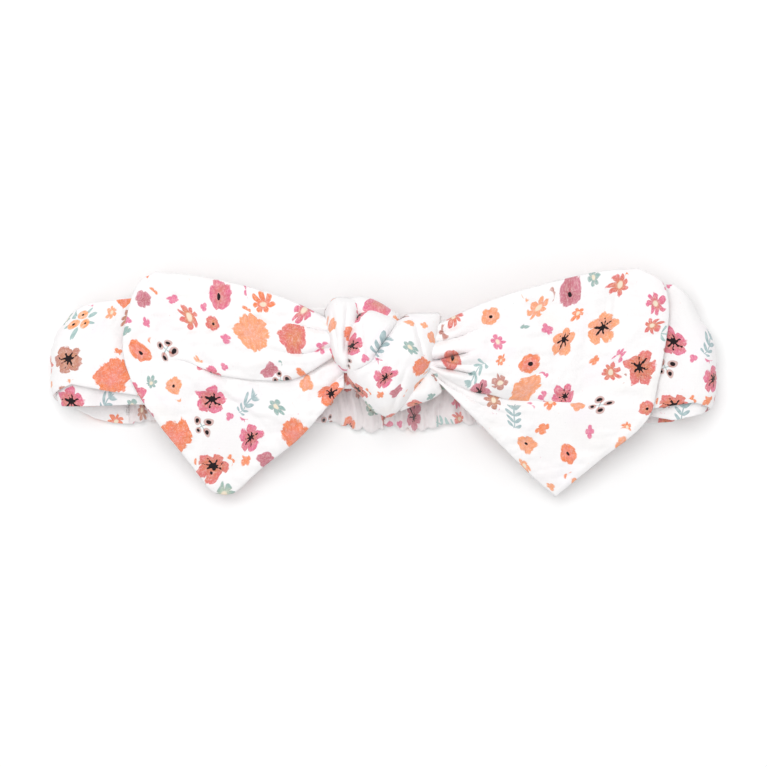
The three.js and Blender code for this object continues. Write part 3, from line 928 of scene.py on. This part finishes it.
def kept_off_band(points, clear):
    """A tail's points, raised where they would sink into the band that they lie on. Over a tenth of a
    millimetre or two the cloth comes to rest smoothly; `clear` is the least height of its middle."""
    soft = 0.12
    rest = TAIL_LOW - hang(points[..., 1]) + clear
    above = (points[..., 2] - rest) / soft
    lifted = points.copy()
    lifted[..., 2] = rest + soft * np.logaddexp(0, above)
    return lifted


def settle(points, hold, slack):
    """Lets a sheet that is a little larger than its outline buckle as cloth, lying on its own lower layers.
    `hold` is how firmly each point keeps its place, from 0 to 1. Returns how far each point has moved."""
    rows, columns = points.shape[:2]
    mesh = bpy.data.meshes.new("settling")
    mesh.from_pydata((points.reshape(-1, 3) * CLOTH_SCALE).tolist(), [], grid_faces(rows, columns).tolist())
    sheet = new_object("settling", mesh)
    held = sheet.vertex_groups.new(name="held")
    for index, weight in enumerate(hold.ravel()):
        held.add([index], float(weight), "REPLACE")
    cloth = sheet.modifiers.new("cloth", "CLOTH")
    muslin = cloth.settings
    muslin.quality = 7
    muslin.mass = 0.12
    muslin.air_damping = 4
    muslin.tension_stiffness = 18
    muslin.compression_stiffness = 18
    muslin.shear_stiffness = 6
    muslin.bending_stiffness = 0.6
    muslin.shrink_min = -slack
    muslin.shrink_max = -slack
    muslin.vertex_group_mass = "held"
    muslin.pin_stiffness = 1.0
    muslin.effector_weights.gravity = 0.15
    cloth.collision_settings.use_collision = False
    cloth.collision_settings.use_self_collision = True
    cloth.collision_settings.self_distance_min = 0.006
    cloth.point_cache.frame_end = CLOTH_STEPS
    for moment in range(1, CLOTH_STEPS + 1):
        bpy.context.scene.frame_set(moment)
    settled = sheet.evaluated_get(bpy.context.evaluated_depsgraph_get()).data
    places = np.empty(rows * columns * 3)
    settled.vertices.foreach_get("co", places)
    bpy.data.objects.remove(sheet)
    bpy.data.meshes.remove(mesh)
    bpy.context.scene.frame_set(1)
    return places.reshape(points.shape) / CLOTH_SCALE - points


def creased(points):
    """A tail's points after its cloth has settled, each moved by a millimetre or two at most."""
    row_stride, column_stride = 3, 2
    coarse = points[::row_stride, ::column_stride]
    rows, columns = coarse.shape[:2]
    along = np.linspace(0, 1, rows)[:, None]
    across = np.linspace(0, 1, columns)[None, :]
    rim = np.minimum(np.minimum(across, 1 - across) * 25, (1 - along) * 25)
    hold = np.maximum(0.75 * smooth(rim, 2.0, 0.0), smooth(along, 0.34, 0.08) + 0 * across)
    moved = settle(coarse, np.maximum(hold, 0.02), 0.03)
    moved = soften(soften(moved, 2).transpose(1, 0, 2), 2).transpose(1, 0, 2)
    for axis, stride in ((0, row_stride), (1, column_stride)):
        every = np.arange(points.shape[axis])
        known = every[::stride]
        moved = np.apply_along_axis(lambda line: np.interp(every, known, line), axis, moved)
    furthest = np.array([1.2, 1.2, 1.6])
    return points + furthest * np.tanh(moved / furthest)


def tail(name, bottom, top, root, end, fold, depth, opens, bulge, creases, seed):
    """A tail. `fold` is the upper half's folded edge, in plan. `depth` is how far the cloth runs back under
    it at the knot, as a share of the width; the pleat opens out until, at `opens` along, it lies flat."""
    along = np.linspace(0, 1, TAIL_ROWS)
    pleat_at = fold_share((bottom, top, root, end), fold, along)[:, None]
    opening = smooth(along, 0.3, opens)[:, None]
    flat_width = 0.05  # what the back of the pleat takes up, once it lies flat
    depth_at = depth * (1 - opening) - flat_width * opening
    valley, edge = 0.42, 0.53  # shares of the cloth's width up to the hidden valley and the folded edge

    # Across the tail, the cloth runs along the lower half, back under the fold, and out along the upper half.
    v = np.linspace(0, 1, TAIL_COLUMNS)[None, :]
    below = np.clip(v / valley, 0, 1)
    back = np.clip((v - valley) / (edge - valley), 0, 1)
    above = np.clip((v - edge) / (1 - edge), 0, 1)
    w = below * (pleat_at + depth_at) - back * depth_at + above * (1 - pleat_at)

    raised = np.clip(depth_at / depth, 0, 1) ** 0.8
    step = 2.4 * raised  # how far the folded edge stands above the lower half
    z = 0.5 + 0.6 * np.sin(math.pi * below) ** 0.8
    z = z + step * (back - 0.55 * smooth(above, 0.0, 0.9))
    crown = np.interp(along, (0, 0.2, 0.8, 1), (0.7, 1, 0.8, 0.3))[:, None]
    z = z + bulge * crown * np.sin(math.pi * above) ** 0.6
    path = soften(np.stack([w, z], axis=-1), 6)
    w, z = path[..., 0], path[..., 1]
    u = np.repeat(along[:, None], TAIL_COLUMNS, axis=1)
    flat = coons(bottom, top, root, end, u, w)
    x, y = flat[..., 0], flat[..., 1]

    # Pleats fan out of the knot, and long soft creases cross the sheet.
    near = np.exp(-((u / 0.30) ** 1.3))
    fan = np.abs(np.sin(math.pi * (5.3 * v + 0.25 * np.sin(6 * u + seed) + 0.21 * seed)))
    z = z - 2.8 * near * (1 - fan) ** 1.8 + 0.9 * near
    z = z + 0.50 * ripples(x, y, 19.0, seed + 1) * smooth(u, 0.05, 0.3)
    z = z + 0.20 * ripples(x, y, 6.5, seed + 2, stretch=0.5)
    z = z + 0.07 * ripples(x, y, 2.4, seed + 3, stretch=0.7)
    for crease in creases:
        z = z + groove(x, y, *crease)
    z = z + TAIL_LOW - hang(y)
    rim = np.minimum(np.minimum(v, 1 - v) * TAIL_COLUMNS, (1 - u) * TAIL_ROWS)
    half = 0.34 + 0.26 * np.exp(-(((rim - 4) / 2.5) ** 2)) - 0.10 * np.exp(-rim)
    points = kept_off_band(creased(np.stack([x, y, z], axis=-1)), half)
    hidden = 9.0 * (1 - opening)  # millimetres of print lost from view in the fold
    unfolded = y + hidden * smooth(back, 0, 1)
    cloth = np.stack([x + 90 * seed, unfolded], axis=-1)
    return shell(name, points, half, cloth, MUSLIN)


def declare_tail(piece, side_word):
    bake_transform(piece)
    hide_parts(f"tail_{side_word}_upper", f"tail_{side_word}_lower")


left_tail = tail(
    "tail_left",
    bottom=curve((-11, -1), (-24, -15.5), (-34, -23.5), (-41.5, -30.3), (-45, -SPREAD + 0.9)),
    top=curve((-12, 16), (-28, 24), (-48, 29.5), (-64.5, 31.5)),
    root=curve((-11, -1), (-12, 16)),
    end=curve(
        (-45, -SPREAD + 0.9), (-49, -30.2), (-55, -22.5), (-67.5, -6), (-72.5, 4), (-73.5, 13), (-70, 27),
        (-64.5, 31.5),
    ),
    fold=curve((-12, 9), (-26, 1), (-44, 2), (-56, 6), (-74, 7)),
    depth=0.21,
    opens=1.0,
    bulge=2.8,
    creases=[
        ((-70, 14), (-44, 16), 0.55, 1.3),
        ((-30, 8), (-52, 11), 0.5, 1.2),
        ((-66, 2), (-44, -14), 0.45, 1.4),
        ((-22, 13), (-38, 19), 0.7, 1.0),
    ],
    seed=1,
)
declare_tail(left_tail, "left")

right_tail = tail(
    "tail_right",
    bottom=curve((12, 4), (26, -10), (42, -26), (49, -SPREAD + 0.5)),
    top=curve((12, 15), (32, 24), (58, 31), (72, SPREAD)),
    root=curve((12, 4), (12, 15)),
    end=curve((49, -SPREAD + 0.5), (61, -22), (74, -11), (77.5, 0), (80.5, 18), (79, 28), (72, SPREAD)),
    fold=curve((12, 5), (28, -3), (55, -5), (79, -5)),
    depth=0.13,
    opens=0.87,
    bulge=3.0,
    creases=[
        ((66, 25), (65, 17), 0.6, 0.8),
        ((13.5, 6.5), (25, 9), 3.2, 0.75),
        ((13.5, 5), (26, 2.5), 3.0, 0.7),
        ((14, 13.5), (23, 17), 1.2, 0.8),
        ((30, 12), (58, 14), 0.55, 1.3),
        ((26, 2), (48, 3), 0.6, 1.2),
        ((40, -16), (64, -12), 0.4, 1.5),
    ],
    seed=2,
)
declare_tail(right_tail, "right")


# --- The knot ---


def pillow(name, bottom, top, root, end, base, rise, shape, seed, creases=(), nodes=()):
    """A bulging strap of the knot: a sheet between four edges that stands up from `base` by `rise`.
    `shape` holds how flat-topped and how steep the bulge is, first along the strap and then across."""
    rows, columns = 90, 90
    u, w = np.meshgrid(np.linspace(0, 1, rows), np.linspace(0, 1, columns), indexing="ij")
    plan = coons(bottom, top, root, end, u, w)
    x, y = plan[..., 0], plan[..., 1]
    dome_u = (1 - np.abs(2 * u - 1) ** shape[0]) ** shape[1]
    dome_w = (1 - np.abs(2 * w - 1) ** shape[2]) ** shape[3]
    z = base + rise * dome_u * dome_w
    for crease in creases:
        z = z + groove(x, y, *crease)
    crinkle = 0.25 * ripples(x, y, 6.0, seed) + 0.13 * ripples(x, y, 2.6, seed + 9, stretch=2.0)
    z = z + crinkle * dome_u * dome_w
    points = np.stack([x, y, z], axis=-1)
    half = np.full(z.shape, 0.5)
    sunk = base + rise - z
    middle = (x.mean(), y.mean())
    cloth = np.stack(
        [
            x + 31 * seed + 0.6 * sunk * np.tanh((x - middle[0]) / 4),
            y + 0.9 * sunk * np.tanh((y - middle[1]) / 4),
        ],
        axis=-1,
    )
    piece = shell(name, points, half, cloth, MUSLIN)
    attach(piece, "front_centre")
    if nodes:
        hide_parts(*nodes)


KNOT_RISE = KNOT_TOP - KNOT_FOOT

pillow(
    "knot_wrap_cloth",
    bottom=curve((-10.2, 5.5), (-9.2, 0.6), (-6, -3.4), (-3.2, -7.0), (1.5, -9.4)),
    top=curve((-9.0, 18.6), (-4, 20.8), (1, 19.2), (4.2, 17.6), (7.5, 19.3), (15.9, 19.5)),
    root=curve((-10.2, 5.5), (-10.6, 12), (-9.0, 18.6)),
    end=curve((1.5, -9.4), (5, -6.4), (9.2, -1), (13.4, 6), (15.9, 19.5)),
    base=KNOT_FOOT + 1.6,
    rise=KNOT_RISE - 3.2,
    shape=(2.6, 0.5, 2.8, 0.5),
    creases=[
        ((4.2, 17.8), (-3.4, 6.6), 2.8, 0.65),
        ((-9.0, 3.0), (1.0, 8.5), 1.1, 0.7),
        ((2.0, -8.0), (6.5, 5.0), 0.7, 0.8),
        ((8.5, 17.5), (12.0, 4.0), 0.9, 0.7),
        ((-6.0, 18.0), (-5.5, 8.0), 0.6, 0.9),
    ],
    nodes=["knot_wrap", "knot_core"],
    seed=3,
)
pillow(
    "knot_strand_cloth",
    bottom=curve((-16.2, 20.5), (-15.2, 13), (-13.6, 7), (-10.6, 3.2)),
    top=curve((-7.2, 23.4), (-7.2, 17), (-9.4, 12), (-9.4, 4.6)),
    root=curve((-16.2, 20.5), (-13.4, 23.8), (-7.2, 23.4)),
    end=curve((-10.6, 3.2), (-9.4, 4.6)),
    base=KNOT_FOOT + 0.6,
    rise=KNOT_RISE - 4.6,
    shape=(5.0, 0.5, 2.6, 0.5),
    creases=[((-14, 21), (-12.4, 7), 0.7, 0.6), ((-10.5, 22), (-11.2, 8), 0.9, 0.6)],
    nodes=["knot_strand"],
    seed=4,
)
pillow(
    "knot_top_fold_cloth",
    bottom=curve((-10, 17), (-4, 17), (4.8, 14.5)),
    top=curve((-11, 23.4), (-6, 24.0), (-1.5, 22.6), (4.6, 18.6)),
    root=curve((-10, 17), (-11, 23.4)),
    end=curve((4.8, 14.5), (4.6, 18.6)),
    base=KNOT_FOOT + 0.6,
    rise=4.6,
    shape=(2.6, 0.6, 2.4, 0.6),
    seed=6,
)
pillow(
    "knot_tuck_cloth",
    bottom=curve((4.5, -7.5), (9, -5.6), (13, -4.2), (16.2, -2.2)),
    top=curve((6.0, -2), (9.5, 1.5), (13.0, 4.8)),
    root=curve((4.5, -7.5), (6.0, -2)),
    end=curve((16.2, -2.2), (15, 1), (13.0, 4.8)),
    base=KNOT_FOOT + 0.4,
    rise=3.8,
    shape=(2.6, 0.6, 2.2, 0.7),
    nodes=["knot_tuck"],
    seed=5,
)
pillow(
    "knot_back_strap_cloth",
    bottom=curve((-2, -5.5), (-7.5, 2), (-9, 10), (-7.5, 16.5)),
    top=curve((5, -5.5), (8.5, 2), (9, 10), (7.5, 16.5)),
    root=curve((-2, -5.5), (1.5, -6.2), (5, -5.5)),
    end=curve((-7.5, 16.5), (0, 18), (7.5, 16.5)),
    base=high("knot_back_strap")[2] - 0.35,
    rise=-0.7,
    shape=(2.6, 0.6, 2.4, 0.6),
    nodes=["knot_back_strap"],
    seed=7,
)


# --- The inner plies that show under the front layer at both ends ---


def underlap(side, word, edge):
    """The inner ply, inside the loop between front and back, where it shows past the front's lower edge.
    `edge` gives its lower edge at some distances from the middle."""
    inset = 1.1  # from the end of the loop
    inner_edge = 8.5  # across the band, out of sight inside the loop
    begin = edge[0][0]
    s = np.linspace(begin, STRAIGHT + 0.5 * ARC, 120)[:, None]
    drop = 1.7 + 0.9 * smooth(s, begin, begin + 10)  # how far under the front layer it lies
    across = np.linspace(0, 1, 44)[None, :]
    lower = np.interp(s, *edge)
    tucked = band_edges(s[:, 0], side)[0][:, None] + 1.5  # just inside the front layer's own edge
    shown = smooth(s, begin, begin + 9)
    lower = tucked + (lower - tucked) * shown
    u = np.clip((s - STRAIGHT) / ARC, 0, 1) + 0 * across
    rounded = 2.2 * smooth(u, 0.2, 0.5) ** 2 * (1 - across) ** 3
    y = lower + rounded + (inner_edge - lower) * across + 0.25 * np.sin(s / 5)
    x = np.minimum(s, STRAIGHT) - end_rounding(s, y) + (FOLD_RADIUS - inset) * np.sin(math.pi * u)
    z = FOLD_LEVEL + (FOLD_RADIUS - drop) * np.cos(math.pi * u)
    z = z + 0.25 * ripples(s, y, 8.0, 11) + 0.7 * (1 - across) * np.sin(s / 3.3)
    points = np.stack([side * x, y, z], axis=-1)
    cloth = np.stack([side * s + 131 + 0 * y, y], axis=-1)
    piece = shell(f"band_{word}_underlap", points, np.full(y.shape, 0.4), cloth, MUSLIN)
    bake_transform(piece)


underlap(-1, "left", ((57, 95), (-6.2, -6.3)))
underlap(1, "right", ((64, 76, 84, 92), (-8.6, -9.3, -10.2, -8.6)))


# --- The small pieces whose CAD shape is right ---


def finish_cad_nodes():
    """Gives the CAD nodes that stay visible their own materials."""
    for name, node in frame["nodes"].items():
        if name.startswith(("elastic", "tack")):
            node.data.materials.clear()
            node.data.materials.append(ELASTIC if name.startswith("elastic") else THREAD)


finish_cad_nodes()


# --- Stage, light and camera ---

PICTURE_MARGIN = 1.143  # the picture is this many times as wide as the headband
PICTURE_SPAN = PICTURE_MARGIN * 2 * HALF * MM
CAMERA_HEIGHT = 1.2  # metres, like the sensor
SENSOR = 0.036
ROOM_LIGHT = 0.74
SOFTBOX_SIZE = 0.6
SOFTBOX_WATTS = 4.4


def build_stage():
    mesh = bpy.data.meshes.new("floor")
    half = 2.0
    corners = [(-half, -half, 0), (half, -half, 0), (half, half, 0), (-half, half, 0)]
    mesh.from_pydata(corners, [], [(0, 1, 2, 3)])
    floor = new_object("floor", mesh)
    material = bpy.data.materials.new("floor_white")
    material.use_nodes = True
    shader = material.node_tree.nodes["Principled BSDF"]
    shader.inputs["Base Color"].default_value = (0.95, 0.95, 0.95, 1.0)
    shader.inputs["Roughness"].default_value = 0.9
    mesh.materials.append(material)


def build_light():
    world = bpy.data.worlds.new("studio")
    bpy.context.scene.world = world
    world.use_nodes = True
    background = world.node_tree.nodes["Background"]
    background.inputs["Color"].default_value = (1.0, 1.0, 1.0, 1.0)
    background.inputs["Strength"].default_value = ROOM_LIGHT
    lamp = bpy.data.lights.new("softbox", "AREA")
    lamp.shape = "SQUARE"
    lamp.size = SOFTBOX_SIZE
    lamp.energy = SOFTBOX_WATTS
    softbox = new_object("softbox", lamp)
    aim = Vector((-0.11, 0.22, 0.95))
    softbox.location = aim
    softbox.rotation_euler = aim.to_track_quat("Z", "Y").to_euler()
    scene = bpy.context.scene
    scene.view_settings.view_transform = "Standard"
    scene.view_settings.look = "None"


def build_camera():
    data = bpy.data.cameras.new("camera")
    data.sensor_width = SENSOR * 1000
    plane = FRONT_LEVEL * MM
    data.lens = SENSOR * 1000 * (CAMERA_HEIGHT - plane) / PICTURE_SPAN
    data.clip_start = 0.05
    data.clip_end = 20
    camera = new_object("camera", data)
    camera.location = (0, 0, CAMERA_HEIGHT)
    bpy.context.scene.camera = camera


build_stage()
build_light()
build_camera()
